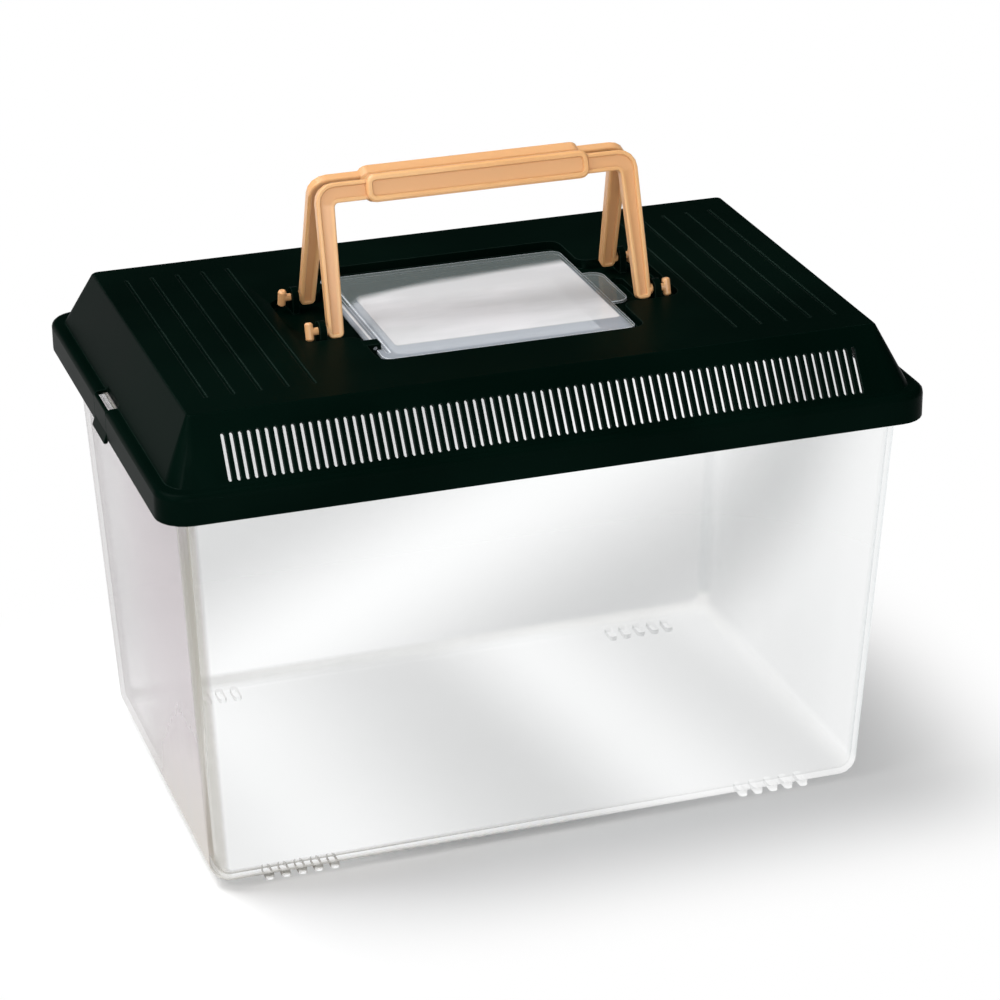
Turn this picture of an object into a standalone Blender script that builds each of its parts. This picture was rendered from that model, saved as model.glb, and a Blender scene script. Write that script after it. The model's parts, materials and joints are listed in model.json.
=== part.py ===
# Plastic critter tank: a clear drafted tank, a black vented lid with a clear feeding hatch,
# two folding carry handles and a snap latch at each end.
# The origin is on the surface it stands on, below the middle of the tank.
# X runs along the tank, the front faces -Y and Z is up.
# Lengths in this file are millimetres; meshes and places are scaled to metres as they are made.

from math import asin, atan, atan2, cos, hypot, pi, radians, sin, tan

import bmesh
import bpy
from mathutils import Matrix, Vector

mm = 0.001

# Fits
seat_gap = 0.3
running_gap = 0.3
rim_clearance = 0.5
slit_gap = 0.4

# Construction
overcut = 5.0
skin = 0.1
sharp_radius = 0.3

# Tank
tank_length = 329.0
tank_width = 204.4
tank_height = 211.0
tank_wall = 2.5
tank_floor = 3.0
wall_lean = radians(2.89)
tank_corner_radius = 10.0
tank_base_radius = 9.0
lip_reach = 7.4
latch_room = 1.3
lip_thickness = 2.5
lip_corner_radius = 12.3

# Feet, each a pad of cross ribs
foot_height = 2.5
foot_length = 36.0
foot_width = 11.0
foot_inset = 26.0
foot_edge_inset = 5.0
foot_rib_count = 5

# Lid shell
lid_wall = 2.2
skirt_height = 14.5
skirt_edge_radius = 3.0
ledge_width = 6.0
slope_rise = 27.6
end_slope_run = 13.3
side_slope_run = 19.1
slope_foot_radius = 13.0
deck_corner_radius = 2.5
deck_edge_radius = 0.8

# Grille of slots in the front and back slopes
slot_width = 1.8
slot_pitch = 4.04
slot_start = 0.29
slot_end = 0.955
slot_end_margin = 14.2

# Grooves across the ends of the deck
groove_width = 1.6
groove_depth = 0.5
groove_pitch = 12.6
groove_edge_margin = 13.2
groove_end_margin = 17.6

# Feeding hatch and the opening below it
hatch_length = 124.4
hatch_width = 113.2
hatch_thickness = 1.6
hatch_corner_radius = 5.0
hatch_rise = 2.8
hatch_hinge_border = 6.5
hatch_end_border = 2.4
hatch_side_border = 7.6
hatch_bevel = 3.5
hatch_side_bevel = 5.5
hatch_window_radius = 3.0
hatch_groove_width = 2.0
hatch_groove_depth = 0.7
hatch_groove_margin = 0.5
hatch_barrel_radius = 1.9
hatch_barrel_length = 72.8
hatch_pin_radius = 1.0
hatch_pin_length = 5.6
hatch_ear_width = 6.6
hatch_ear_reach = 2.5
tab_length = 9.6
tab_width = 42.0
tab_corner_radius = 6.0
opening_border = 8.0
opening_lip_wall = 2.0
opening_lip_drop = 6.0

# Recess in the deck for the hatch, with a pocket at each end for the handle pivots
recess_depth = 4.7
recess_margin_hinge = 4.6
recess_margin_tab = 1.6
recess_margin_side = 7.0
recess_corner_radius = 6.0
pocket_margin = 4.0
pocket_side_margin = 3.9
pocket_corner_radius = 8.0
scoop_depth = 3.3
scoop_length = 16.0
scoop_width = 28.0
scoop_corner_radius = 4.0
scoop_tab_overlap = 7.8

# Carry handles
handle_height = 69.5
handle_gap = 0.3
pivot_spread = 24.1
pivot_rise = 2.6
grip_length = 110.0
grip_width = 13.2
grip_thickness = 8.0
grip_corner_radius = 4.5
bar_drop = 2.0
bar_width = 9.5
bar_corner_radius = 9.0
leg_tab_gap = 1.2
leg_foot_width = 7.3
leg_top_width = 8.6
leg_lean_in = 2.2
leg_thickness = 5.0
leg_below_pivot = 4.3
leg_end_radius = 2.4
leg_corner_radius = 2.0
bead_width = 1.2
bead_chamfer = 0.5
grip_bead_width = 1.6
grip_bead_chamfer = 1.0
channel_depth = 1.3
channel_wall = 0.5
pin_radius = 1.8
pin_shoulder_radius = 2.6
pin_shoulder_length = 1.0
lug_width = 3.3
lug_radius = 4.7
tee_gap = 2.1
tee_radius = 2.0
tee_length = 8.7
tee_cap = 0.8

# End latches
latch_width = 24.2
latch_thickness = 2.0
latch_tab_drop = 2.7
latch_tab_flare = 1.8
latch_top_drop = 0.8
latch_hinge_drop = 1.5
latch_edge_radius = 0.6
latch_bend_radius = 1.0
hook_height = 2.7
catch_ridge_width = 0.9
catch_ridge_height = 1.1
catch_ridge_spacing = 1.5
catch_ridge_margin = 0.2

# Roundness of arcs, in straight steps
corner_steps = 6
fillet_steps = 4
slot_end_steps = 3
pin_steps = 16

# Heights in the stack
lip_top = tank_height
lip_underside = lip_top - lip_thickness
ledge_underside = lip_top + seat_gap
ledge_top = ledge_underside + lid_wall
skirt_bottom = ledge_top - skirt_height
deck_top = ledge_top + slope_rise
recess_floor = deck_top - recess_depth

# Half sizes along X and Y, taken outwards from the tank
base_half = Vector((tank_length / 2, tank_width / 2))
out = Vector((1, 1))
seat_half = base_half + out * (tan(wall_lean) * (lip_underside - foot_height) + lip_reach)
lip_half = seat_half - Vector((latch_room, 0))
rim_half = seat_half + out * (rim_clearance + lid_wall)
foot_of_slope_half = rim_half - out * ledge_width
slope_run = Vector((end_slope_run, side_slope_run))
deck_half = foot_of_slope_half - slope_run

# Hatch hinge along its left edge
hatch_half = Vector((hatch_length / 2, hatch_width / 2))
hatch_underside = recess_floor + seat_gap
hatch_axis_x = -hatch_half.x - running_gap
hatch_axis_z = hatch_underside + hatch_barrel_radius + skin
hatch_ear_start = hatch_barrel_length / 2 + slit_gap
hatch_ear_end = hatch_ear_start + hatch_ear_width

# Recess outline
recess_left = hatch_half.x + recess_margin_hinge
recess_right = hatch_half.x + recess_margin_tab
recess_side = hatch_half.y + recess_margin_side
leg_inner_foot = hatch_half.x + tab_length + leg_tab_gap
leg_outer_foot = leg_inner_foot + leg_foot_width
lug_start = leg_outer_foot + pin_shoulder_length + running_gap
tee_x = lug_start + lug_width + tee_gap + tee_radius
pocket_end = tee_x + tee_radius + pocket_margin
pocket_side = pivot_spread + leg_thickness / 2 + pocket_side_margin
scoop_start = hatch_half.x + tab_length - scoop_tab_overlap

# Handle pivots and how far each handle leans in until the two grips meet
pivot_z = deck_top + pivot_rise
leg_inner_top = leg_inner_foot - leg_lean_in
leg_outer_top = leg_inner_top + leg_top_width
bar_top = handle_height - bar_drop
bar_bottom = bar_top - bar_width
grip_half = grip_thickness / 2
handle_lean = asin((pivot_spread - handle_gap / 2) / hypot(handle_height, grip_half))
handle_lean -= atan(grip_half / handle_height)

# Latches: the line each flexes on, and the room between its face and the end of the lip
latch_hinge_x = rim_half.x - latch_thickness / 2
latch_hinge_z = ledge_top - latch_hinge_drop
hook_reach = rim_half.x - latch_thickness - lip_half.x - running_gap
catch_end = lip_half.x - catch_ridge_margin
window_inner_x = catch_end - catch_ridge_spacing - catch_ridge_width - running_gap
window_half_width = latch_width / 2 + slit_gap


def rounded(corners, steps):
    # Replaces each corner (x, y, radius) with an arc that is tangent to both of its sides
    points = []
    for index, (x, y, radius) in enumerate(corners):
        corner = Vector((x, y))
        back = (Vector(corners[index - 1][:2]) - corner).normalized()
        ahead = (Vector(corners[(index + 1) % len(corners)][:2]) - corner).normalized()
        half_angle = back.angle(ahead) / 2
        centre = corner + (back + ahead).normalized() * (radius / sin(half_angle))
        spoke = corner + back * (radius / tan(half_angle)) - centre
        turn = pi - 2 * half_angle
        if back.cross(ahead) > 0:
            turn = -turn
        for step in range(steps + 1):
            points.append(centre + Matrix.Rotation(turn * step / steps, 2) @ spoke)
    return points


def rectangle(half, radius, centre=(0, 0), steps=corner_steps):
    x, y = centre
    corners = [
        (x + half[0], y - half[1], radius),
        (x + half[0], y + half[1], radius),
        (x - half[0], y + half[1], radius),
        (x - half[0], y - half[1], radius),
    ]
    return rounded(corners, steps)


def circle(radius, steps=pin_steps):
    angles = [2 * pi * (step + 0.5) / steps for step in range(steps)]
    return [Vector((radius * cos(angle), radius * sin(angle))) for angle in angles]


def loft(sections):
    # Skins a stack of (outline, height) sections that have the same number of points
    shape = bmesh.new()
    rings = [[shape.verts.new((x, y, z)) for x, y in outline] for outline, z in sections]
    for ring, following in zip(rings, rings[1:]):
        for index in range(len(ring)):
            after = (index + 1) % len(ring)
            shape.faces.new((ring[index], ring[after], following[after], following[index]))
    shape.faces.new(list(reversed(rings[0])))
    shape.faces.new(rings[-1])
    shape.normal_update()
    return shape


def prism(outline, low, high):
    return loft([(outline, low), (outline, high)])


def box(low, high):
    (x0, y0, z0), (x1, y1, z1) = low, high
    return prism([(x0, y0), (x1, y0), (x1, y1), (x0, y1)], z0, z1)


def turned(profile, steps=pin_steps):
    # A round bar about Z from (radius, height) steps
    return loft([(circle(radius, steps), height) for radius, height in profile])


def along_x(shape, centre, side=1):
    # Lays a shape that was built about Z along X, towards the given side
    turn = Matrix.Rotation(side * pi / 2, 4, "Y")
    shape.transform(Matrix.Translation(centre) @ turn)
    return shape


def along_y(shape, centre, side=1):
    turn = Matrix.Rotation(-side * pi / 2, 4, "X")
    shape.transform(Matrix.Translation(centre) @ turn)
    return shape


def mesh_of(*shapes):
    # One mesh from shapes that don't touch each other
    together = bmesh.new()
    for shape in shapes:
        single = bpy.data.meshes.new("single")
        shape.to_mesh(single)
        shape.free()
        together.from_mesh(single)
        bpy.data.meshes.remove(single)
    mesh = bpy.data.meshes.new("tool")
    together.to_mesh(mesh)
    together.free()
    return mesh


def combined(base, *operations):
    # Joins or cuts the base mesh with one tool after another
    body = bpy.data.objects.new("body", base)
    bpy.context.collection.objects.link(body)
    tools = []
    for operation, tool_mesh in operations:
        tool = bpy.data.objects.new("tool", tool_mesh)
        bpy.context.collection.objects.link(tool)
        tools.append(tool)
        modifier = body.modifiers.new(operation.lower(), "BOOLEAN")
        modifier.operation = operation
        modifier.solver = "EXACT"
        modifier.object = tool
    graph = bpy.context.evaluated_depsgraph_get()
    result = bpy.data.meshes.new_from_object(body.evaluated_get(graph))
    for helper in [body, *tools]:
        bpy.data.objects.remove(helper)
    return result


def plastic(name, colour, roughness, transmission=0.0):
    material = bpy.data.materials.new(name)
    material.use_nodes = True
    shader = material.node_tree.nodes["Principled BSDF"]
    shader.inputs["Base Color"].default_value = (*colour, 1)
    shader.inputs["Roughness"].default_value = roughness
    shader.inputs["Metallic"].default_value = 0.0
    shader.inputs["Transmission Weight"].default_value = transmission
    material.diffuse_color = (*colour, 1 - 0.7 * transmission)
    return material


def place(name, mesh, location=(0, 0, 0), rotation=(0, 0, 0), parent=None):
    # Puts a mesh in the scene as one sub-part, with its location still in millimetres
    part = bpy.data.objects.new(name, mesh)
    part.location = Vector(location) * mm
    part.rotation_euler = rotation
    part.parent = parent
    bpy.context.collection.objects.link(part)
    return part


def finished(mesh, name, material):
    mesh.name = name
    mesh.transform(Matrix.Scale(mm, 4))
    mesh.materials.append(material)
    mesh.shade_smooth()
    mesh.set_sharp_from_angle(angle=radians(30))
    return mesh


def tank_ring(z, inwards, corner):
    # An outline of the tank wall at a height, drawn in from its leaning outer face
    spread = out * (tan(wall_lean) * (z - foot_height) - inwards)
    return rectangle(base_half + spread, corner), z


def tank_mesh():
    outer = []
    inner = []
    inside_radius = tank_base_radius - tank_wall
    for step in range(corner_steps + 1):
        angle = pi / 2 * step / corner_steps
        draw = 1 - sin(angle)
        lift = 1 - cos(angle)
        outer.append(
            tank_ring(
                foot_height + tank_base_radius * lift,
                tank_base_radius * draw,
                tank_corner_radius - tank_base_radius * draw,
            )
        )
        inner.append(
            tank_ring(
                foot_height + tank_floor + inside_radius * lift,
                tank_wall + inside_radius * draw,
                tank_corner_radius - tank_wall - inside_radius * draw,
            )
        )
    lip = [
        tank_ring(lip_underside, 0, tank_corner_radius),
        (rectangle(lip_half, lip_corner_radius), lip_underside),
        (rectangle(lip_half, lip_corner_radius), lip_top),
        tank_ring(lip_top, tank_wall, tank_corner_radius - tank_wall),
    ]
    shell = mesh_of(loft(outer + lip + inner[::-1]))

    # Catch ridges on the lip, seen through the window behind each latch
    ridges = []
    for side in (-1, 1):
        for step in range(2):
            start = side * (catch_end - step * catch_ridge_spacing)
            reach = sorted((start, start - side * catch_ridge_width))
            low = (reach[0], -latch_width / 2, lip_top - lip_thickness / 2)
            high = (reach[1], latch_width / 2, lip_top + catch_ridge_height)
            ridges.append(box(low, high))

    ribs = []
    rib_pitch = foot_length / (2 * foot_rib_count - 1)
    foot_start = base_half.x - foot_inset - foot_length
    foot_y = base_half.y - foot_edge_inset - foot_width / 2
    for side_x in (-1, 1):
        for side_y in (-1, 1):
            for rib in range(foot_rib_count):
                middle = side_x * (foot_start + rib_pitch * (2 * rib + 0.5))
                outline = rectangle(
                    (rib_pitch / 2, foot_width / 2), rib_pitch / 4, (middle, side_y * foot_y), 1
                )
                ribs.append(prism(outline, 0, foot_height + tank_floor / 2))
    return combined(shell, ("UNION", mesh_of(*ridges)), ("UNION", mesh_of(*ribs)))


def slope_inset(run):
    # How far the inside of the lid's wall steps in where it turns from level to sloping
    return lid_wall * tan(atan2(slope_rise, run) / 2)


def lid_shell():
    inset = Vector((slope_inset(end_slope_run), slope_inset(side_slope_run)))
    rim_radius = lip_corner_radius + rim_clearance + lid_wall
    inner_rim = rectangle(rim_half - out * lid_wall, rim_radius - lid_wall)
    inner_foot = rectangle(foot_of_slope_half - inset, slope_foot_radius - lid_wall)
    inner_deck = rectangle(deck_half - inset, deck_corner_radius / 2)
    rim = rectangle(rim_half, rim_radius)
    sections = [
        (inner_deck, deck_top - lid_wall),
        (inner_foot, ledge_underside),
        (inner_rim, ledge_underside),
        (inner_rim, skirt_bottom),
        (rim, skirt_bottom),
    ]
    for step in range(fillet_steps):
        angle = pi / 2 * step / (fillet_steps - 1)
        draw = skirt_edge_radius * (1 - cos(angle))
        height = ledge_top - skirt_edge_radius * (1 - sin(angle))
        sections.append((rectangle(rim_half - out * draw, rim_radius - draw), height))
    sections.append((rectangle(foot_of_slope_half, slope_foot_radius), ledge_top))
    share = deck_edge_radius / slope_rise
    sections += [
        (rectangle(deck_half + slope_run * share, deck_corner_radius), deck_top - deck_edge_radius),
        (rectangle(deck_half - out * deck_edge_radius / 2, deck_corner_radius), deck_top),
    ]
    return mesh_of(loft(sections))


def recess_outline(grow=0.0):
    # A rectangle for the hatch with a narrower pocket out of each end
    end = pocket_end + grow
    side = pocket_side + grow
    far_side = recess_side + grow
    corner = recess_corner_radius + grow
    turn = recess_corner_radius - grow
    tip = pocket_corner_radius + grow
    right = recess_right + grow
    left = -recess_left - grow
    half = [(end, side, tip), (right, side, turn), (right, far_side, corner)]
    half += [(left, far_side, corner), (left, side, turn), (-end, side, tip)]
    other_half = [(x, -y, radius) for x, y, radius in reversed(half)]
    return rounded(half + other_half, fillet_steps)


def opening_outline(grow=0.0):
    half = hatch_half - out * (opening_border - grow)
    return rectangle(half, hatch_corner_radius + grow, steps=fillet_steps)


def scoop_outline(grow=0.0):
    half = (scoop_length / 2 + grow, scoop_width / 2 + grow)
    centre = (scoop_start + scoop_length / 2, 0)
    return rectangle(half, scoop_corner_radius + grow, centre, fillet_steps)


def pivot_lugs():
    # An ear outside each handle leg, standing on the pocket's floor and round at the top
    lugs = []
    for side in (-1, 1):
        for row in (-1, 1):
            profile = [Vector((lug_radius, recess_floor - pivot_z - lid_wall / 2))]
            for step in range(corner_steps * 2 + 1):
                angle = pi * step / (corner_steps * 2)
                profile.append(Vector((cos(angle), sin(angle))) * lug_radius)
            profile.append(Vector((-lug_radius, profile[0].y)))
            lug = prism(profile, 0, lug_width)
            # The profile's own X and Y become the lid's Y and Z
            lug.transform(Matrix(((0, 0, 1, 0), (1, 0, 0, 0), (0, 1, 0, 0), (0, 0, 0, 1))))
            start = lug_start if side > 0 else -lug_start - lug_width
            lug.transform(Matrix.Translation((start, row * pivot_spread, pivot_z)))
            lugs.append(lug)
    return lugs


def hatch_ears():
    ears = []
    for side in (-1, 1):
        reach = sorted((side * hatch_ear_start, side * hatch_ear_end))
        low = (-recess_left - lid_wall / 2, reach[0], recess_floor - lid_wall / 2)
        high = (hatch_axis_x + hatch_ear_reach, reach[1], hatch_axis_z + hatch_ear_reach)
        ears.append(box(low, high))
    return ears


def pivot_bores():
    bores = []
    for side in (-1, 1):
        for row in (-1, 1):
            bore = turned([
                (pin_radius + running_gap, -slit_gap),
                (pin_radius + running_gap, lug_width + slit_gap),
            ])
            bores.append(along_x(bore, (side * lug_start, row * pivot_spread, pivot_z), side))
        bore = turned([
            (hatch_pin_radius + running_gap, -slit_gap),
            (hatch_pin_radius + running_gap, hatch_ear_width + slit_gap),
        ])
        bores.append(along_y(bore, (hatch_axis_x, side * hatch_ear_start, hatch_axis_z), side))
    return bores


def grille_slots():
    # Round-ended slots that run down the slope and are cut square to it
    slots = []
    length = hypot(side_slope_run, slope_rise)
    pitch_angle = atan2(slope_rise, side_slope_run)
    middle = (slot_start + slot_end) / 2
    straight = length * (slot_end - slot_start) / 2 - slot_width / 2
    outline = []
    for end in (1, -1):
        for step in range(slot_end_steps + 1):
            angle = pi * step / slot_end_steps
            outline.append(
                Vector((end * cos(angle) * slot_width / 2, end * (straight + sin(angle) * slot_width / 2)))
            )
    spread = deck_half.x - slot_end_margin
    spaces = round(2 * spread / slot_pitch)
    for side in (-1, 1):
        tilt = Matrix.Rotation(-side * pitch_angle, 4, "X")
        y = side * (deck_half.y + side_slope_run * middle)
        z = deck_top - slope_rise * middle
        for slot in range(spaces + 1):
            cutter = prism(outline, -2 * lid_wall, 2 * lid_wall)
            x = -spread + 2 * spread * slot / spaces
            cutter.transform(Matrix.Translation((x, y, z)) @ tilt)
            slots.append(cutter)
    return slots


def deck_grooves():
    grooves = []
    last = deck_half.x - groove_edge_margin
    room = last - pocket_end - groove_edge_margin / 2
    for index in range(int(room / groove_pitch) + 1):
        for side in (-1, 1):
            outline = rectangle(
                (groove_width / 2, deck_half.y - groove_end_margin),
                groove_width / 3,
                (side * (last - index * groove_pitch), 0),
                2,
            )
            grooves.append(prism(outline, deck_top - groove_depth, deck_top + overcut))
    return grooves


def latch_windows():
    # Each takes the tongue's stretch of the skirt and a window in the ledge behind it
    windows = []
    for side in (-1, 1):
        reach = sorted((side * window_inner_x, side * (rim_half.x + overcut)))
        low = (reach[0], -window_half_width, skirt_bottom - overcut)
        high = (reach[1], window_half_width, ledge_top + overcut)
        windows.append(box(low, high))
    return windows


def lid_mesh():
    recess_underside = recess_floor - lid_wall
    pan = prism(recess_outline(lid_wall), recess_underside, deck_top - lid_wall / 2)
    inside_pan = recess_floor - lid_wall / 2
    opening_lip = prism(
        opening_outline(opening_lip_wall), recess_underside - opening_lip_drop, inside_pan
    )
    scoop_shell = prism(scoop_outline(lid_wall), recess_underside - scoop_depth, inside_pan)
    recess = prism(recess_outline(), recess_floor, deck_top + overcut)
    opening = prism(opening_outline(), recess_underside - opening_lip_drop - overcut, deck_top)
    scoop = prism(scoop_outline(), recess_floor - scoop_depth, deck_top)
    return combined(
        lid_shell(),
        ("UNION", mesh_of(pan)),
        ("UNION", mesh_of(opening_lip, scoop_shell)),
        ("DIFFERENCE", mesh_of(recess)),
        ("DIFFERENCE", mesh_of(opening, scoop)),
        ("UNION", mesh_of(*pivot_lugs(), *hatch_ears())),
        ("DIFFERENCE", mesh_of(*pivot_bores())),
        ("DIFFERENCE", mesh_of(*latch_windows(), *deck_grooves())),
        ("DIFFERENCE", mesh_of(*grille_slots())),
    )


def hatch_mesh():
    # Built about the hinge axis: a flange with a raised window, hollow below
    shift = -hatch_axis_x
    low = hatch_underside - hatch_axis_z
    flange_top = low + hatch_thickness
    top = flange_top + hatch_rise
    window_low = Vector((-hatch_half.x + hatch_hinge_border, -hatch_half.y + hatch_side_border))
    window_high = Vector((hatch_half.x - hatch_end_border, hatch_half.y - hatch_side_border))
    window_half = (window_high - window_low) / 2
    window_x = (window_high.x + window_low.x) / 2 + shift
    bevel = Vector((hatch_bevel, hatch_side_bevel))
    inner = out * hatch_thickness
    top_radius = hatch_window_radius / 2

    def ring(half, radius, centre, z):
        return rectangle(half, radius, (centre, 0), fillet_steps), z

    plate = loft([
        ring(window_half - bevel - inner, top_radius / 2, window_x, top - hatch_thickness),
        ring(window_half - inner, top_radius, window_x, low),
        ring(hatch_half, hatch_corner_radius, shift, low),
        ring(hatch_half, hatch_corner_radius, shift, flange_top),
        ring(window_half, hatch_window_radius, window_x, flange_top),
        ring(window_half - bevel, top_radius, window_x, top),
    ])

    notches = []
    for side in (-1, 1):
        reach = sorted((side * (hatch_ear_start - slit_gap), side * (hatch_ear_end + slit_gap)))
        notch_low = (-overcut, reach[0], low - overcut)
        notch_high = (hatch_ear_reach + slit_gap, reach[1], top + overcut)
        notches.append(box(notch_low, notch_high))
    groove_end = hatch_hinge_border - hatch_groove_margin - running_gap
    groove = box(
        (groove_end - hatch_groove_width, -window_half.y, flange_top - hatch_groove_depth),
        (groove_end, window_half.y, top + overcut),
    )
    barrel_half = hatch_barrel_length / 2
    barrel = turned([
        (hatch_pin_radius, -barrel_half - hatch_pin_length),
        (hatch_pin_radius, -barrel_half),
        (hatch_barrel_radius, -barrel_half),
        (hatch_barrel_radius, barrel_half),
        (hatch_pin_radius, barrel_half),
        (hatch_pin_radius, barrel_half + hatch_pin_length),
    ])
    tab_end = hatch_half.x + shift + tab_length
    tab_start = tab_end - tab_length - hatch_end_border / 2
    tab = rounded(
        [
            (tab_start, -tab_width / 2, sharp_radius),
            (tab_end, -tab_width / 2, tab_corner_radius),
            (tab_end, tab_width / 2, tab_corner_radius),
            (tab_start, tab_width / 2, sharp_radius),
        ],
        fillet_steps,
    )
    return combined(
        mesh_of(plate),
        ("DIFFERENCE", mesh_of(*notches, groove)),
        ("UNION", mesh_of(along_y(barrel, (0, 0, 0)))),
        ("UNION", mesh_of(prism(tab, low + skin, flange_top - skin))),
    )


def moulded_plate(outline, thickness, chamfer, bead):
    # A plate whose two faces have a chamfered edge, a bead round it and a sunk panel inside
    half = thickness / 2
    plate = prism(outline, -half + chamfer, half - chamfer)
    plate.faces.ensure_lookup_table()
    for cap in list(plate.faces[-2:]):
        for run, rise in ((chamfer, chamfer), (bead, 0), (channel_wall, -channel_depth)):
            bmesh.ops.inset_region(
                plate, faces=[cap], thickness=run, depth=rise, use_even_offset=True
            )
    # The outline's own Y becomes up, and its thickness runs along Y
    plate.transform(Matrix.Rotation(pi / 2, 4, "X"))
    return plate


def handle_mesh():
    # Built about the pivot axis, standing upright
    foot = -leg_below_pivot
    bail = rounded(
        [
            (-leg_outer_foot, foot, leg_end_radius),
            (-leg_inner_foot, foot, leg_end_radius),
            (-leg_inner_top, bar_bottom, leg_corner_radius),
            (leg_inner_top, bar_bottom, leg_corner_radius),
            (leg_inner_foot, foot, leg_end_radius),
            (leg_outer_foot, foot, leg_end_radius),
            (leg_outer_top, bar_top, bar_corner_radius),
            (-leg_outer_top, bar_top, bar_corner_radius),
        ],
        fillet_steps,
    )
    grip = rectangle(
        (grip_length / 2, grip_width / 2),
        grip_corner_radius,
        (0, handle_height - grip_width / 2),
        fillet_steps,
    )
    pins = []
    tees = []
    pin_end = tee_x - leg_outer_foot
    for side in (-1, 1):
        pin = turned([
            (pin_shoulder_radius, -bead_width),
            (pin_shoulder_radius, pin_shoulder_length),
            (pin_radius, pin_shoulder_length),
            (pin_radius, pin_end),
        ])
        pins.append(along_x(pin, (side * leg_outer_foot, 0, 0), side))
        tee = turned([
            (tee_radius - tee_cap, -tee_length / 2),
            (tee_radius, -tee_length / 2 + tee_cap),
            (tee_radius, tee_length / 2 - tee_cap),
            (tee_radius - tee_cap, tee_length / 2),
        ])
        tee.transform(Matrix.Translation((side * tee_x, 0, 0)))
        tees.append(tee)
    bail_plate = moulded_plate(bail, leg_thickness, bead_chamfer, bead_width)
    grip_plate = moulded_plate(grip, grip_thickness, grip_bead_chamfer, grip_bead_width)
    return combined(
        mesh_of(bail_plate),
        ("UNION", mesh_of(grip_plate)),
        ("UNION", mesh_of(*pins)),
        ("UNION", mesh_of(*tees)),
    )


def latch_mesh():
    # The tongue in section, built about the line that it flexes on, for the right-hand end
    face = rim_half.x - latch_hinge_x
    inner = face - latch_thickness
    top = ledge_top - latch_top_drop - latch_hinge_z
    hook_top = lip_underside - running_gap - latch_hinge_z
    bottom = skirt_bottom - latch_tab_drop - latch_hinge_z
    bend = skirt_bottom + latch_tab_drop - latch_hinge_z
    section = [
        (inner, top, latch_edge_radius),
        (inner, hook_top, sharp_radius),
        (inner - hook_reach, hook_top, sharp_radius),
        (inner, hook_top - hook_height, sharp_radius),
        (inner, bend, latch_bend_radius),
        (inner + latch_tab_flare, bottom, latch_edge_radius),
        (face + latch_tab_flare, bottom, latch_edge_radius),
        (face, bend, latch_bend_radius),
        (face, top, latch_bend_radius),
    ]
    tongue = prism(rounded(section, fillet_steps), -latch_width / 2, latch_width / 2)
    # The section's own Y becomes up, and its length runs along Y
    tongue.transform(Matrix.Rotation(pi / 2, 4, "X"))
    return mesh_of(tongue)


for leftover in list(bpy.data.objects):
    bpy.data.objects.remove(leftover)

clear = plastic("clear_plastic", (0.93, 0.95, 0.94), 0.06, 1.0)
clear_hatch = plastic("clear_hatch_plastic", (0.90, 0.93, 0.93), 0.08, 1.0)
black = plastic("black_plastic", (0.004, 0.008, 0.006), 0.28)
black_latch = plastic("black_latch_plastic", (0.004, 0.008, 0.006), 0.30)
tan_handle = plastic("tan_plastic", (0.76, 0.47, 0.22), 0.38)

tank = place("tank_body", finished(tank_mesh(), "tank_body", clear))
lid = place("lid", finished(lid_mesh(), "lid", black), parent=tank)
place(
    "feeding_hatch",
    finished(hatch_mesh(), "feeding_hatch", clear_hatch),
    location=(hatch_axis_x, 0, hatch_axis_z),
    parent=lid,
)
handle = finished(handle_mesh(), "handle", tan_handle)
place(
    "front_handle",
    handle,
    location=(0, -pivot_spread, pivot_z),
    rotation=(-handle_lean, 0, 0),
    parent=lid,
)
place(
    "rear_handle",
    handle,
    location=(0, pivot_spread, pivot_z),
    rotation=(-handle_lean, 0, pi),
    parent=lid,
)
tongue = finished(latch_mesh(), "latch_tongue", black_latch)
for name, side, turn in (("latch_left", -1, pi), ("latch_right", 1, 0)):
    place(
        name,
        tongue,
        location=(side * latch_hinge_x, 0, latch_hinge_z),
        rotation=(0, 0, turn),
        parent=lid,
    )
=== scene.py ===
import json
from math import cos, radians, sin

import bmesh
import bpy
import numpy as np
from mathutils import Matrix, Vector


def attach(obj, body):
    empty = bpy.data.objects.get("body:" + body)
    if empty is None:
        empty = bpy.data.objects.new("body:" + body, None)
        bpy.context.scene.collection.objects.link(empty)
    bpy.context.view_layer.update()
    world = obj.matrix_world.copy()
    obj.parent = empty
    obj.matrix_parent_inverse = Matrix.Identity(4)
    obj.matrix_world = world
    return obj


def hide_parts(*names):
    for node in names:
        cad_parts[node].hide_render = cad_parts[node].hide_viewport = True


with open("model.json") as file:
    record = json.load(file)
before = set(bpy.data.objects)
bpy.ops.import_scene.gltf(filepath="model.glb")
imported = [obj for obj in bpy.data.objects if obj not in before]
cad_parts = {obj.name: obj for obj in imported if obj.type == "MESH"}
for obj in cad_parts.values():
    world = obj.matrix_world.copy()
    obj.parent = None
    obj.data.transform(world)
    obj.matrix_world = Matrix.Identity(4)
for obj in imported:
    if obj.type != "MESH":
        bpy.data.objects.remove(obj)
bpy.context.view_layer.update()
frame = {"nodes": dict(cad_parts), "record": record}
print("frame loaded")


# Camera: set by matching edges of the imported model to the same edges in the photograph

cameraView = {
    "azimuth": -18.40,  # degrees about the tank, where 0 looks along +Y
    "elevation": 23.93,
    "roll": -0.59,
    "distance": 1.669,  # metres from the point it turns about
    "pivotHeight": 0.1275,
    "across": 0.0111,  # metres the camera stands to its own right of that line
    "above": 0.0065,
    "focalPixels": 3386.0,  # focal length in pixels of a frame 1000 wide
    "frameWidth": 1000.0,
    "sensorWidth": 36.0,  # millimetres
}


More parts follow.
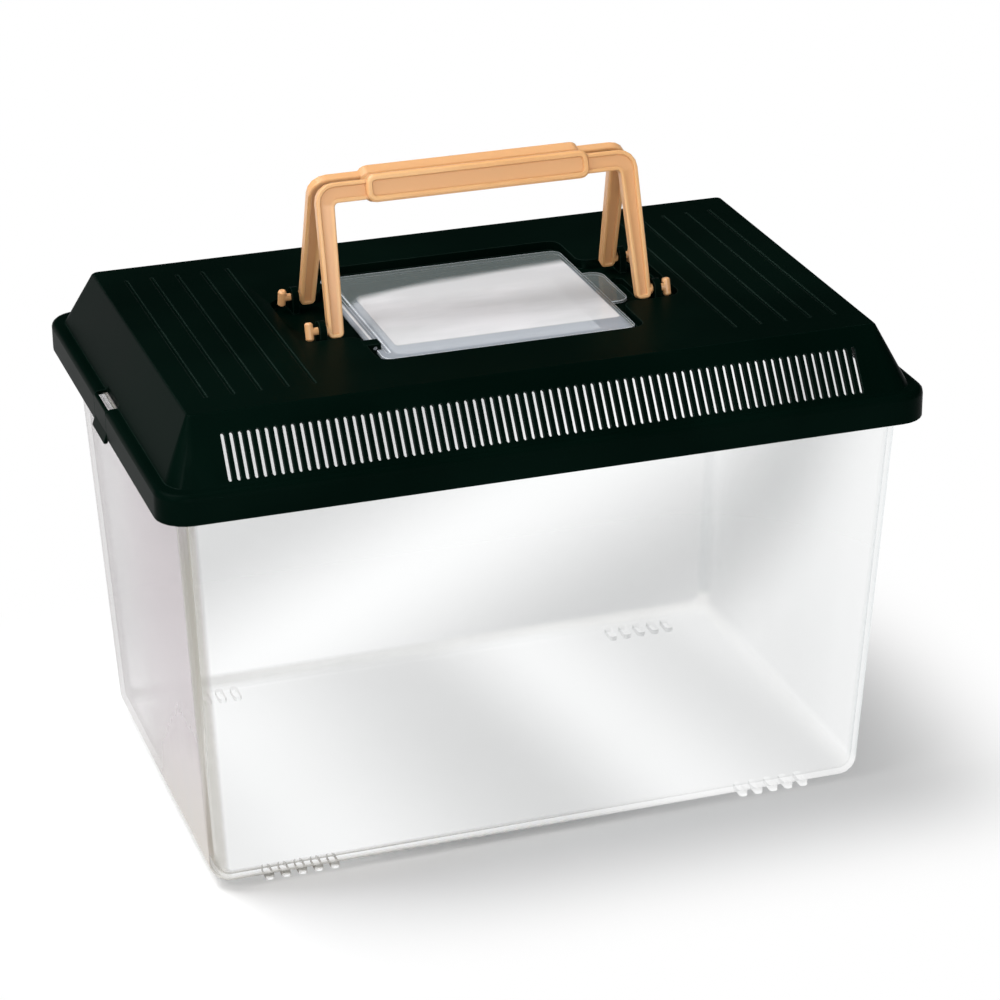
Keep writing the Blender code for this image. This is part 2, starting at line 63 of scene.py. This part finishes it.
def placeCamera(view):
    # Away from the pivot by the two angles, moved across and up, and rolled about its own line
    az, el, roll = (radians(view[key]) for key in ("azimuth", "elevation", "roll"))
    away = Vector((cos(el) * sin(az), -cos(el) * cos(az), sin(el)))
    right = Vector((cos(az), sin(az), 0.0))
    up = away.cross(right)
    place = away * view["distance"] + right * view["across"] + up * view["above"]
    place.z += view["pivotHeight"]
    axes = Matrix((right * cos(roll) + up * sin(roll), up * cos(roll) - right * sin(roll), away))
    camera = bpy.data.objects.new("camera", bpy.data.cameras.new("camera"))
    camera.matrix_world = Matrix.Translation(place) @ axes.transposed().to_4x4()
    camera.data.sensor_width = view["sensorWidth"]
    camera.data.lens = camera.data.sensor_width * view["focalPixels"] / view["frameWidth"]
    bpy.context.scene.collection.objects.link(camera)
    bpy.context.scene.camera = camera


placeCamera(cameraView)
print("camera placed")


# Shader sums

class Value:
    # One number or vector in a material; arithmetic on it adds Math nodes

    def __init__(self, finish, socket):
        self.finish, self.socket = finish, socket

    def math(self, operation, *values):
        return self.finish.node("ShaderNodeMath", {"operation": operation}, values)

    def __add__(self, other):
        return self.math("ADD", self, other)

    __radd__ = __add__

    def __sub__(self, other):
        return self.math("SUBTRACT", self, other)

    def __rsub__(self, other):
        return self.math("SUBTRACT", other, self)

    def __mul__(self, other):
        return self.math("MULTIPLY", self, other)

    __rmul__ = __mul__

    def __truediv__(self, other):
        return self.math("DIVIDE", self, other)

    def __pow__(self, other):
        return self.math("POWER", self, other)

    def size(self):
        return self.math("ABSOLUTE", self)

    def larger(self, other):
        return self.math("MAXIMUM", self, other)

    def held(self):  # kept between 0 and 1
        return self.finish.node("ShaderNodeClamp", {}, [self])

    def between(self, low, high):  # 0 below low, 1 above high, smooth between them
        settings = {"interpolation_type": "SMOOTHSTEP"}
        return self.finish.node("ShaderNodeMapRange", settings, [self, low, high, 0.0, 1.0])

    def line(self, slope, start):  # straight line: this times the slope, from the start
        return self * slope + start

    def part(self, axis):  # one of a vector's three numbers
        return self.finish.node("ShaderNodeSeparateXYZ", {}, [self], out=axis)


class Finish:
    # A material being made

    def __init__(self, name):
        self.material = bpy.data.materials.new(name)
        self.material.use_nodes = True
        self.tree = self.material.node_tree
        self.shader = self.tree.nodes["Principled BSDF"]
        self.ending = self.tree.nodes["Material Output"].inputs["Surface"]

    def node(self, kind, settings=None, values=(), out=0):
        made = self.tree.nodes.new(kind)
        for key, value in (settings or {}).items():
            if key == "stops":
                self.fillRamp(made.color_ramp, value)
            else:
                setattr(made, key, value)
        pairs = values.items() if isinstance(values, dict) else enumerate(values)
        for key, value in pairs:
            self.feed(made.inputs[key], value)
        return Value(self, made.outputs[out])

    def fillRamp(self, ramp, stops):  # the ends stay at 0 and 1, and the rest are added
        ramp.interpolation = "EASE"
        ends = [ramp.elements[0], ramp.elements[-1]]
        ends[0].color, ends[1].color = ((*stops[index][1], 1.0) for index in (0, -1))
        for position, colour in stops[1:-1]:
            ramp.elements.new(position).color = (*colour, 1.0)

    def feed(self, socket, value):
        if isinstance(value, Value):
            self.tree.links.new(value.socket, socket)
        else:
            socket.default_value = value

    def set(self, values):
        for key, value in values.items():
            self.feed(self.shader.inputs[key], value)

    def place(self, stretch=(1.0, 1.0, 1.0), turn=(0.0, 0.0, 0.0)):  # metres, in the piece's axes
        at = self.node("ShaderNodeTexCoord", out="Object")
        return self.node(
            "ShaderNodeMapping", {}, {"Vector": at, "Scale": stretch, "Rotation": turn}
        )

    def facing(self):  # the surface's own direction, in the piece's axes
        return self.node("ShaderNodeTexCoord", out="Normal")

    def noise(self, scale, detail, roughness, at=None):
        values = {"Vector": at or self.place(), "Scale": scale}
        values.update({"Detail": detail, "Roughness": roughness})
        return self.node("ShaderNodeTexNoise", {"noise_dimensions": "3D"}, values)

    def bands(self, along, stops):  # soft bands from (metres, strength) stops
        first, last = stops[0][0], stops[-1][0]
        share = (along - first) / (last - first)
        shades = [((at - first) / (last - first), (strength,) * 3) for at, strength in stops]
        return self.node("ShaderNodeValToRGB", {"stops": shades}, [share])

    def mix(self, amount, first, second):  # sockets 6 and 7 take the colours, and 2 gives one
        pair = [value if isinstance(value, Value) else (*value, 1.0) for value in (first, second)]
        return self.node(
            "ShaderNodeMix", {"data_type": "RGBA"}, {0: amount, 6: pair[0], 7: pair[1]}, out=2
        )

    def softEdge(self, radius):  # the direction that edges rounded to this radius would have
        return self.node("ShaderNodeBevel", {"samples": 4}, {"Radius": radius})

    def edgeMask(self, rounded, low=0.02, high=0.30):  # 1 on the edges that softEdge rounds
        straight = self.node("ShaderNodeNewGeometry", out="Normal")
        match = self.node(
            "ShaderNodeVectorMath", {"operation": "DOT_PRODUCT"}, [rounded, straight], out="Value"
        )
        return (1.0 - match).between(low, high)

    def bump(self, height, strength, distance, normal=None):
        values = {"Height": height, "Strength": strength, "Distance": distance}
        if normal:
            values["Normal"] = normal
        return self.node("ShaderNodeBump", {}, values)

    def through(self, veil, tint):  # the shader shows by veil, and what is behind it by the rest
        clear = self.node("ShaderNodeBsdfTransparent", {}, {"Color": (*tint, 1.0)})
        own = Value(self, self.shader.outputs[0])
        both = self.node("ShaderNodeMixShader", {}, {0: veil, 1: clear, 2: own})
        self.feed(self.ending, both)


def screenColour(red, green, blue):
    # Linear colour of a screen colour from 0 to 255
    screen = np.array((red, green, blue)) / 255.0
    linear = np.where(screen <= 0.04045, screen / 12.92, ((screen + 0.055) / 1.055) ** 2.4)
    return tuple(linear.tolist())


# Clear plastic

tankPlastic = {
    "leftShadeTint": screenColour(168, 155, 160),  # painted shade on the left end and painted highlight on the right end, where the walls turn milky
    "rightHighlightTint": screenColour(226, 248, 252),
    "lowLeftShadeTint": screenColour(160, 151, 138),  # deeper painted shade low on the left end
    "leftCornerShade": screenColour(178, 174, 164),  # painted shade on the rounded corners at the left
    "baseEdgeHighlight": screenColour(236, 233, 228),  # painted highlight on the rounded edge of the base
    "reflectionAndSmudgeGrey": screenColour(150, 150, 152),  # the grey of the painted reflection bands on the flat walls, and of the smudges
    "tint": (0.998, 1.0, 1.0),  # share of light that passes one surface
    "veilLeast": 0.004,  # share of light that one surface stops, at the least
    "veilGrazing": 0.92,  # where it is seen edge on
    "veilRounded": 0.45,  # where it bends
    "wallReflectionVeil": 0.24,  # in the painted reflection bands on the back and right walls
    "floorReflectionVeil": 0.15,  # and in the painted reflection bands on the floor
    "grazingFade": (0.45, 0.98),  # how far turned from the eye it starts to count, and is full
    "roundedFade": (0.06, 0.45),  # how far from a flat wall a bend starts to count, and is full
    "grazingMottle": (0.7, 0.65),  # mottled share of the milkiness seen edge on, and the even one
    "roundedMottle": (1.0, 0.5),  # and where it bends
    "rightShare": 0.25,  # how much of the milkiness the right end has
    "backShare": 0.40,  # and the back
    "floorShare": 0.40,  # and the floor, seen edge on
    "lowLeftExtra": 0.8,  # how much more of it there is low on the left end
    "baseLess": 0.6,  # how much less the base's edge has, seen edge on
    "baseRightLess": 0.8,  # and where it bends, at the right
    "slope": (0.9, 0.44),  # the painted reflection bands on the back rise by height and fall by length
    "wrap": 0.16,  # metres that carry the painted reflection bands on the back round the corner onto the right wall
    "wrapAcross": (0.10, 0.14),  # metres along the tank where they come in there
    "wrapDepth": (-0.11, 0.02),  # and over its width
    "skew": 0.15,  # how far the painted reflection bands on the floor lean with depth
    "backReflectionStops": ((-0.12, 0.2), (-0.04, 1.0), (0.05, 0.0), (0.12, 0.85), (0.20, 0.7)),
    "floorReflectionStops": (
        (-0.165, 0.35), (-0.115, 0.0), (0.0, 1.0), (0.066, 0.05), (0.137, 0.75), (0.165, 0.5)
    ),
    "endFade": (-0.12, 0.16),  # metres along the tank over which left turns to right
    "rearFade": (-0.05, 0.06),  # and over its width, front to back
    "floorTop": (0.012, 0.016),  # metres above the ground where the floor ends
    "floorLevel": (0.5, 0.95),  # how level a surface has to be to count as floor
    "lowTop": (-0.02, 0.06),  # metres above the ground where low ends
    "lowLean": 0.45,  # and how this sinks with depth
    "lowShare": 0.9,  # how far the colour low on the left end takes over
    "milkyGain": (3.0, 1.6),  # how soon milkiness brings its colour, edge on and where it bends
    "baseHighlightStart": 0.3,  # how much of the painted highlight the base's edge has at the left
    "smearStretch": (38.0, 38.0, 3.5),  # upright smears
    "smearNoise": (1.0, 4.0, 0.55),  # scale, detail and roughness of a noise
    "cloudNoise": (16.0, 3.0, 0.5),
    "mottleShares": (0.6, 0.4),  # how much the mottle has of smears and of cloud
    "smudgeFade": (0.35, 0.75),  # mottle from which smudges start, and are full
    "smudgeShare": 0.25,
    "dents": (0.05, 0.0008),  # strength of the bumps, and their height in metres
    "roughness": 0.12,
    "refraction": 1.49,
}


def paintedTankReflections(finish, values, place, squares, rear, low):
    # Painted reflections: slanted bands on the back wall, carried round onto the right one, and
    # bands on the floor
    across, depth, height = place
    rise, fall = values["slope"]
    slanted = finish.bands(height * rise - across * fall, values["backReflectionStops"])
    wrapped = finish.bands((height + depth) * rise - values["wrap"], values["backReflectionStops"])
    right = across.between(*values["wrapAcross"]) * depth.between(*values["wrapDepth"])
    upright = finish.bands(across + depth * values["skew"], values["floorReflectionStops"])
    walls = slanted * squares[1] * rear + wrapped * squares[0] * right
    return walls * values["wallReflectionVeil"] + upright * squares[2] * low * values["floorReflectionVeil"]


def tankFinish(values):
    # See-through, with painted reflections as soft grey bands, milky where a wall is seen edge on
    # or bends, with painted shade on the left end and painted highlights on the right end and the
    # base's edge
    finish = Finish("tankPlastic")
    whole = finish.place()
    place = [whole.part(axis) for axis in range(3)]
    across, depth, height = place
    smears = finish.noise(*values["smearNoise"], finish.place(values["smearStretch"]))
    cloud = finish.noise(*values["cloudNoise"])
    mottle = smears * values["mottleShares"][0] + cloud * values["mottleShares"][1]
    direction = finish.facing()
    squares = [direction.part(axis) ** 2.0 for axis in range(3)]
    flat = squares[0] * squares[0] + squares[1] * squares[1] + squares[2] * squares[2]
    rounded = (1.0 - flat).between(*values["roundedFade"])
    glancing = finish.node("ShaderNodeLayerWeight", out="Facing").between(*values["grazingFade"])

    # Where on the tank: right end, back, floor, and low on the left end
    end = across.between(*values["endFade"])
    rear = depth.between(*values["rearFade"])
    low = 1.0 - height.between(*values["floorTop"])
    above = (height + depth * values["lowLean"]).between(*values["lowTop"])
    lowLeft = (1.0 - above) * (1.0 - end)
    level = squares[2].between(*values["floorLevel"])

    clearer = 1.0 - end * (1.0 - values["rightShare"])
    clearer = clearer * (1.0 - rear * (1.0 - values["backShare"]))
    grazing = glancing * values["veilGrazing"] * clearer
    grazing = grazing * (1.0 - level * (1.0 - values["floorShare"]))
    grazing = grazing * lowLeft.line(values["lowLeftExtra"], 1.0)
    grazing = grazing * (1.0 - rounded * low * values["baseLess"])
    bends = rounded * values["veilRounded"] * clearer
    bends = bends * (1.0 - low * end * values["baseRightLess"])
    # The veil holds the painted reflection bands, and the milkiness seen edge on and where the
    # walls bend
    veil = (
        values["veilLeast"]
        + paintedTankReflections(finish, values, place, squares, rear, low)
        + grazing * mottle.line(*values["grazingMottle"])
        + bends * mottle.line(*values["roundedMottle"])
    )

    # Painted shade on the left end, deeper low down and on its rounded corners, turning to a
    # painted pale cyan highlight on the right end
    left = finish.mix(lowLeft * values["lowShare"], values["leftShadeTint"], values["lowLeftShadeTint"])
    left = finish.mix(rounded, left, values["leftCornerShade"])
    sides = finish.mix(end, left, values["rightHighlightTint"])
    edgeOn, bent = values["milkyGain"]
    milky = (grazing * edgeOn + rounded * clearer * bent).held()
    colour = finish.mix(milky, values["reflectionAndSmudgeGrey"], sides)
    # Painted highlight along the rounded edge of the base, fuller towards the right
    base = rounded * low * (end + values["baseHighlightStart"]).held()
    colour = finish.mix(base, colour, values["baseEdgeHighlight"])
    smudges = mottle.between(*values["smudgeFade"]) * values["smudgeShare"]
    finish.set({
        "Base Color": finish.mix(smudges, colour, values["reflectionAndSmudgeGrey"]),
        "Roughness": values["roughness"],
        "IOR": values["refraction"],
        "Normal": finish.bump(mottle, *values["dents"]),
    })
    finish.through(veil.held(), values["tint"])
    return finish.material


hatchPlastic = {
    "panel": screenColour(224, 225, 227),
    "streak": screenColour(236, 236, 239),
    "bevel": screenColour(190, 197, 206),
    # painted shade of the black lid seen through the back and the tab
    "lidSeenShade": screenColour(112, 121, 120),
    # painted highlight along the edges
    "edge": screenColour(240, 246, 252),
    "tint": (0.96, 0.965, 0.97),  # share of light that passes one surface
    "veilPanel": 0.88,  # share of light that one surface of the milky panel stops
    "veilBevel": 0.50,  # and one of its front and hinge-side slopes and flanges
    "veilBorder": 0.56,  # and one of the back and tab, which show the painted shade of the black lid seen through
    "veilEdge": 0.7,  # and what its edges stop on top of that, to show their painted highlight
    "veilStreak": 0.05,
    "panelHeight": 0.2402,  # metres above the ground
    "panelBlend": 0.0004,  # metres below that over which the panel starts
    "panelLevel": (0.90, 0.97),  # how level a surface has to be to count as panel
    "lidSeenBack": (0.022, 0.032),  # metres behind the middle where the panel turns to the painted shade of the black lid
    "lidSeenWave": 0.02,  # metres that this line wavers
    "lidSeenLean": 0.16,  # and how it leans back along the hatch
    "tabStarts": (0.058, 0.062),  # metres to the right of the middle
    "streakStretch": (9.0, 26.0, 20.0),
    "streakTurn": (0.0, 0.0, 0.3),
    "streakNoise": (1.0, 4.0, 0.55),
    "streakFade": (0.45, 0.68),  # flow from which a streak starts, and is full
    "edgeRadius": 0.0008,
    "edgeFade": (0.002, 0.03),  # how far from flat an edge starts to count, and is full
    "dents": (0.08, 0.001),
    "roughness": 0.10,
    "refraction": 1.49,
}


def hatchFinish(values):
    # A milky panel with pale flow streaks, the painted shade of the black lid seen through
    # behind, cool grey slopes and painted highlights on the edges
    finish = Finish("hatchPlastic")
    streaks = finish.place(values["streakStretch"], values["streakTurn"])
    flow = finish.noise(*values["streakNoise"], streaks)
    streak = flow.between(*values["streakFade"])
    rounded = finish.softEdge(values["edgeRadius"])
    # Where the painted highlight along the edges goes
    edge = finish.edgeMask(rounded, *values["edgeFade"])
    place = finish.place()
    across, depth, height = (place.part(axis) for axis in range(3))
    level = finish.facing().part(2).size().between(*values["panelLevel"])
    start = values["panelHeight"] - values["panelBlend"]
    panel = level * height.between(start, values["panelHeight"])
    # A wavering line across the back, behind which the black lid's shade is painted
    back = depth + (flow - 0.5) * values["lidSeenWave"] - across * values["lidSeenLean"]
    front = 1.0 - back.between(*values["lidSeenBack"])
    milky = panel * front
    sloped = (1.0 - panel) * front * (1.0 - across.between(*values["tabStarts"]))
    veil = (
        values["veilBorder"]
        + milky * (values["veilPanel"] - values["veilBorder"])
        + sloped * (values["veilBevel"] - values["veilBorder"])
        + edge * values["veilEdge"]
        + streak * values["veilStreak"]
    )
    cloudy = finish.mix(streak, values["panel"], values["streak"])
    body = finish.mix(milky, finish.mix(sloped, values["lidSeenShade"], values["bevel"]), cloudy)
    finish.set({
        "Base Color": finish.mix(edge, body, values["edge"]),
        "Roughness": values["roughness"],
        "IOR": values["refraction"],
        "Normal": finish.bump(flow, *values["dents"], rounded),
    })
    finish.through(veil.held(), values["tint"])
    return finish.material


# Black plastic

blackPlastic = {
    "colour": screenColour(1, 11, 7),
    "pale": screenColour(3, 16, 11),
    # painted highlight along the edges
    "edge": screenColour(46, 62, 56),
    "roughness": (0.31, 0.10, 0.05),  # at the least, and added by the slow flow and fine tooth
    "specular": 0.010,
    "shine": (0.80, 1.0, 0.92),  # tint of its reflections
    "flowNoise": (11.0, 3.0, 0.5),
    "toothNoise": (1400.0, 2.0, 0.6),
    "paleFade": (0.35, 0.7),  # flow from which the paler colour starts, and is full
    "edgeHighlightFlow": (1.2, 0.1),  # how much the flow varies the painted edge highlight, and how much all edges have
    "edgeRadius": 0.0007,
    "dentShares": (0.6, 0.4),  # how much the bumps have of tooth and of flow
    "dents": (0.06, 0.0002),
}


def blackFinish(name, values):
    # Satin black with a faint green cast, a fine tooth and a faint painted highlight along its
    # edges
    finish = Finish(name)
    flow = finish.noise(*values["flowNoise"])
    tooth = finish.noise(*values["toothNoise"])
    rounded = finish.softEdge(values["edgeRadius"])
    # Painted highlight along the edges, uneven with the flow
    edge = finish.edgeMask(rounded) * flow.line(*values["edgeHighlightFlow"]).held()
    body = finish.mix(flow.between(*values["paleFade"]), values["colour"], values["pale"])
    dents = tooth * values["dentShares"][0] + flow * values["dentShares"][1]
    least, slow, fine = values["roughness"]
    finish.set({
        "Base Color": finish.mix(edge, body, values["edge"]),
        "Roughness": flow * slow + tooth * fine + least,
        "Specular IOR Level": values["specular"],
        "Specular Tint": (*values["shine"], 1.0),
        "Normal": finish.bump(dents, *values["dents"], rounded),
    })
    return finish.material


# Tan plastic

tanPlastic = {
    "colour": screenColour(234, 184, 128),
    "deep": screenColour(228, 172, 114),
    # painted shade on the sunk webs
    "web": screenColour(224, 170, 118),
    # painted shade in the valleys
    "valleyShade": screenColour(204, 126, 66),
    # painted highlight on the tops of the beads
    "bead": screenColour(252, 222, 168),
    "roughness": (0.26, 0.10, 0.06),  # at the least, and added by the slow flow and fine grain
    "refraction": 1.5,
    "glow": 0.06,  # share of light that spreads under the surface
    "glowReach": (0.004, 0.002, 0.001),
    "glowScale": 0.4,
    "flowNoise": (24.0, 4.0, 0.55),
    "grainNoise": (900.0, 2.0, 0.5),
    "swirlFade": (0.3, 0.7),  # flow from which the lighter colour starts, and is full
    "edgeRadius": 0.0005,
    # how far the edges take on the painted shade and highlight
    "edgeShare": 0.85,
    "beadFade": (0.35, 0.75),  # height above the web from which the edges start to turn from painted shade to painted highlight, and have turned
    "dentShares": (0.5, 0.5),  # how much the bumps have of grain and of flow
    "dents": (0.08, 0.0003),
    "pivot": (0.0241, 0.2437),  # metres from the middle and above the ground
    "lean": 16.83,  # degrees that each handle leans in
    "webLevel": 0.0012,  # metres from a handle's middle plane to its sunk web
    "beadHeight": 0.0013,
    "gripExtra": 0.0015,  # how much further out both are on the grip
    "gripHalf": 0.0552,  # metres from the middle to the grip's end
    "gripStart": 0.0560,  # metres from the pivot to the grip's lower edge
    "blend": 0.0004,  # metres over which the grip's levels take over
}


def aboveWeb(finish, values):
    # 0 on a handle's sunk webs and 1 on the tops of its beads, the same for both handles:
    # the distance from the handle's own middle plane, which leans in through its pivot
    place = finish.place()
    outwards = place.part(1).size() - values["pivot"][0]
    upwards = place.part(2) - values["pivot"][1]
    lean = radians(values["lean"])
    level = (outwards * cos(lean) + upwards * sin(lean)).size()
    along = upwards * cos(lean) - outwards * sin(lean)
    start, end, blend = (values[key] for key in ("gripStart", "gripHalf", "blend"))
    inGrip = 1.0 - place.part(0).size().between(end, end + blend)
    grip = along.between(start - blend, start) * inGrip
    sunk = level - values["webLevel"] - grip * values["gripExtra"]
    return (sunk / values["beadHeight"]).held()


def tanFinish(values):
    # Warm tan with soft colour swirls, a fine grain, painted shade on the sunk webs and in the
    # valleys, and painted highlights on the beads
    finish = Finish("tanPlastic")
    flow = finish.noise(*values["flowNoise"])
    grain = finish.noise(*values["grainNoise"])
    rounded = finish.softEdge(values["edgeRadius"])
    edge = finish.edgeMask(rounded)
    raised = aboveWeb(finish, values)
    body = finish.mix(flow.between(*values["swirlFade"]), values["deep"], values["colour"])
    # Painted shade on the sunk webs
    body = finish.mix(raised, values["web"], body)
    # Painted shade in the valleys and painted highlights on the beads' tops
    shadeAndHighlight = finish.mix(raised.between(*values["beadFade"]), values["valleyShade"], values["bead"])
    dents = grain * values["dentShares"][0] + flow * values["dentShares"][1]
    least, slow, fine = values["roughness"]
    finish.set({
        "Base Color": finish.mix(edge * values["edgeShare"], body, shadeAndHighlight),
        "Roughness": flow * slow + grain * fine + least,
        "Subsurface Weight": values["glow"],
        "Subsurface Radius": values["glowReach"],
        "Subsurface Scale": values["glowScale"],
        "IOR": values["refraction"],
        "Normal": finish.bump(dents, *values["dents"], rounded),
    })
    return finish.material


print("finishes ready")


# Pieces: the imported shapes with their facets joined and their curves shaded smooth

smoothing = {
    "joinDistance": 1e-6,  # metres
    "flatAngle": 0.05,  # degrees between facets that become one face
    "sharpAngle": 32.0,  # degrees from which an edge stays sharp
    "areaWeight": 60,  # how far large faces decide the shading at their edges
}


def joinedFacets(source, name, values):
    # A new mesh with the source's doubles merged and its level facets made one face
    shape = bmesh.new()
    shape.from_mesh(source)
    bmesh.ops.remove_doubles(shape, verts=shape.verts[:], dist=values["joinDistance"])
    bmesh.ops.dissolve_limit(
        shape,
        angle_limit=radians(values["flatAngle"]),
        verts=shape.verts[:],
        edges=shape.edges[:],
    )
    mesh = bpy.data.meshes.new(name)
    shape.to_mesh(mesh)
    shape.free()
    mesh.shade_smooth()
    mesh.set_sharp_from_angle(angle=radians(values["sharpAngle"]))
    return mesh


def keepFlatsFlat(piece, values):
    # Corner normals weighted by face area, so a wall stays even beside its rounded edges
    even = piece.modifiers.new("evenShading", "WEIGHTED_NORMAL")
    even.mode = "FACE_AREA"
    even.weight = values["areaWeight"]
    even.keep_sharp = True
    graph = bpy.context.evaluated_depsgraph_get()
    shaped = bpy.data.meshes.new_from_object(piece.evaluated_get(graph), depsgraph=graph)
    piece.modifiers.clear()
    rough = piece.data
    piece.data = shaped
    bpy.data.meshes.remove(rough)
    shaped.name = piece.name


def smoothCopy(node, name, material):
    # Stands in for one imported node: the same shape, joined and shaded smooth
    mesh = joinedFacets(frame["nodes"][node].data, name, smoothing)
    mesh.materials.append(material)
    piece = bpy.data.objects.new(name, mesh)
    bpy.context.scene.collection.objects.link(piece)
    keepFlatsFlat(piece, smoothing)
    body = next(key for key, nodes in bodyNodes.items() if node in nodes)
    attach(piece, body)
    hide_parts(node)


bodyNodes = frame["record"]["behaviour"]["bodies"]
handleTan = tanFinish(tanPlastic)
lidBlack = blackFinish("lidBlack", blackPlastic)
latchBlack = blackFinish("latchBlack", blackPlastic)
smoothCopy("tank_body", "clearTank", tankFinish(tankPlastic))
smoothCopy("lid", "ventedLid", lidBlack)
smoothCopy("feeding_hatch", "clearHatch", hatchFinish(hatchPlastic))
smoothCopy("front_handle", "frontBail", handleTan)
smoothCopy("rear_handle", "rearBail", handleTan)
smoothCopy("latch_left", "leftTongue", latchBlack)
smoothCopy("latch_right", "rightTongue", latchBlack)
print("pieces dressed")


# Floor, light and background

studio = {
    "floorSize": 16.0,
    "floorColour": 0.90,
    "floorRoughness": 0.9,
    "floorShown": 0.05,  # light that only the camera and reflections see, beside the tank
    "footprint": (0.165, 0.103),  # metres from the middle to the tank's sides
    "shadowFade": (0.0, 0.13),  # metres from there over which the floor turns plain white
    "floorThrough": 0.95,  # how far the floor seen through clear plastic is plain white
    "worldLight": 0.34,
    "ceiling": 0.03,  # what reflections see above the pale backdrop
    "backdropTop": (0.0, 0.09),  # sines of the angles between which the backdrop ends
    "aim": (0.0, 0.0, 0.15),  # where the lamps point
}

lamps = {
    "keyBox": {  # from the left and behind, so the shadow falls forwards to the right
        "place": (-1.6, 1.0, 4.1),
        "size": (2.4, 2.4),
        "power": 150.0,
    },
    "sideBox": {  # from the left, on the tank's end and the handles' legs
        "place": (-3.0, -1.2, 2.6),
        "size": (1.4, 1.4),
        "power": 45.0,
    },
    "fillBox": {  # from the front
        "place": (-0.6, -5.0, 1.8),
        "size": (3.2, 2.4),
        "power": 110.0,
    },
}

white = (1.0, 1.0, 1.0, 1.0)


def seenByEye(tree):
    # 1 for the camera's rays and those that pass or bounce off a glossy surface
    rays = tree.nodes.new("ShaderNodeLightPath")
    total = rays.outputs["Is Camera Ray"]
    for kind in ("Is Glossy Ray", "Is Transmission Ray"):
        either = tree.nodes.new("ShaderNodeMath")
        either.operation = "MAXIMUM"
        tree.links.new(total, either.inputs[0])
        tree.links.new(rays.outputs[kind], either.inputs[1])
        total = either.outputs[0]
    return total


def backdropLight(tree, values):
    # 1 for the camera and low down; reflections see a dim ceiling above the backdrop's top
    direction = tree.nodes.new("ShaderNodeTexCoord")
    split = tree.nodes.new("ShaderNodeSeparateXYZ")
    tree.links.new(direction.outputs["Generated"], split.inputs[0])
    fade = tree.nodes.new("ShaderNodeMapRange")
    fade.interpolation_type = "SMOOTHSTEP"
    low, high = values["backdropTop"]
    tree.links.new(split.outputs["Z"], fade.inputs["Value"])
    ends = {"From Min": low, "From Max": high, "To Min": 1.0, "To Max": values["ceiling"]}
    for key, number in ends.items():
        fade.inputs[key].default_value = number
    rays = tree.nodes.new("ShaderNodeLightPath")
    brighter = tree.nodes.new("ShaderNodeMath")
    brighter.operation = "MAXIMUM"
    tree.links.new(rays.outputs["Is Camera Ray"], brighter.inputs[0])
    tree.links.new(fade.outputs["Result"], brighter.inputs[1])
    return brighter.outputs[0]


def besideTank(finish, values):
    # Metres from the tank's footprint, from the lengths past its sides
    place = finish.place()
    past = [
        (place.part(axis).size() - values["footprint"][axis]).larger(0.0) for axis in range(2)
    ]
    return (past[0] * past[0] + past[1] * past[1]) ** 0.5


def whiteFloor(values):
    # Lit by the lamps beside the tank, and plain white further off and through clear plastic
    bpy.ops.mesh.primitive_plane_add(size=values["floorSize"])
    floor = bpy.context.object
    floor.name = "floor"
    finish = Finish("floorWhite")
    shade = (values["floorColour"],) * 3
    finish.set({
        "Base Color": (*shade, 1.0),
        "Roughness": values["floorRoughness"],
        "Specular IOR Level": 0.0,
    })
    seen = Value(finish, seenByEye(finish.tree))
    strength = seen * values["floorShown"]
    shown = finish.node("ShaderNodeEmission", {}, {"Color": white, "Strength": strength})
    lit = Value(finish, finish.shader.outputs[0])
    direct = finish.node("ShaderNodeAddShader", {}, [lit, shown])
    plain = finish.node("ShaderNodeEmission", {}, {"Color": white})
    behind = finish.node("ShaderNodeLightPath", out="Transparent Depth").held()
    away = besideTank(finish, values).between(*values["shadowFade"])
    share = away.larger(behind * values["floorThrough"]) * seen
    surface = finish.node("ShaderNodeMixShader", {}, {0: share, 1: direct, 2: plain})
    finish.feed(finish.ending, surface)
    floor.data.materials.append(finish.material)


def whiteWorld(values):
    # A soft light on the object, and the white backdrop for the camera and for reflections
    world = bpy.data.worlds.new("studioWorld")
    world.use_nodes = True
    tree = world.node_tree
    sky = tree.nodes["Background"]
    sky.inputs["Color"].default_value = white
    sky.inputs["Strength"].default_value = values["worldLight"]
    shown = tree.nodes.new("ShaderNodeBackground")
    shown.inputs["Color"].default_value = white
    tree.links.new(backdropLight(tree, values), shown.inputs["Strength"])
    mix = tree.nodes.new("ShaderNodeMixShader")
    tree.links.new(seenByEye(tree), mix.inputs[0])
    tree.links.new(sky.outputs[0], mix.inputs[1])
    tree.links.new(shown.outputs[0], mix.inputs[2])
    tree.links.new(mix.outputs[0], tree.nodes["World Output"].inputs["Surface"])
    bpy.context.scene.world = world


def softBox(name, values, aim):
    # One large lamp that points at the aim
    lamp = bpy.data.lights.new(name, "AREA")
    lamp.shape = "RECTANGLE"
    lamp.size, lamp.size_y = values["size"]
    lamp.energy = values["power"]
    box = bpy.data.objects.new(name, lamp)
    box.location = values["place"]
    towards = Vector(aim) - Vector(values["place"])
    box.rotation_euler = towards.to_track_quat("-Z", "Y").to_euler()
    bpy.context.scene.collection.objects.link(box)


whiteFloor(studio)
whiteWorld(studio)
for lampName, lampValues in lamps.items():
    softBox(lampName, lampValues, studio["aim"])
bpy.context.scene.view_settings.view_transform = "Standard"
print("studio lit")
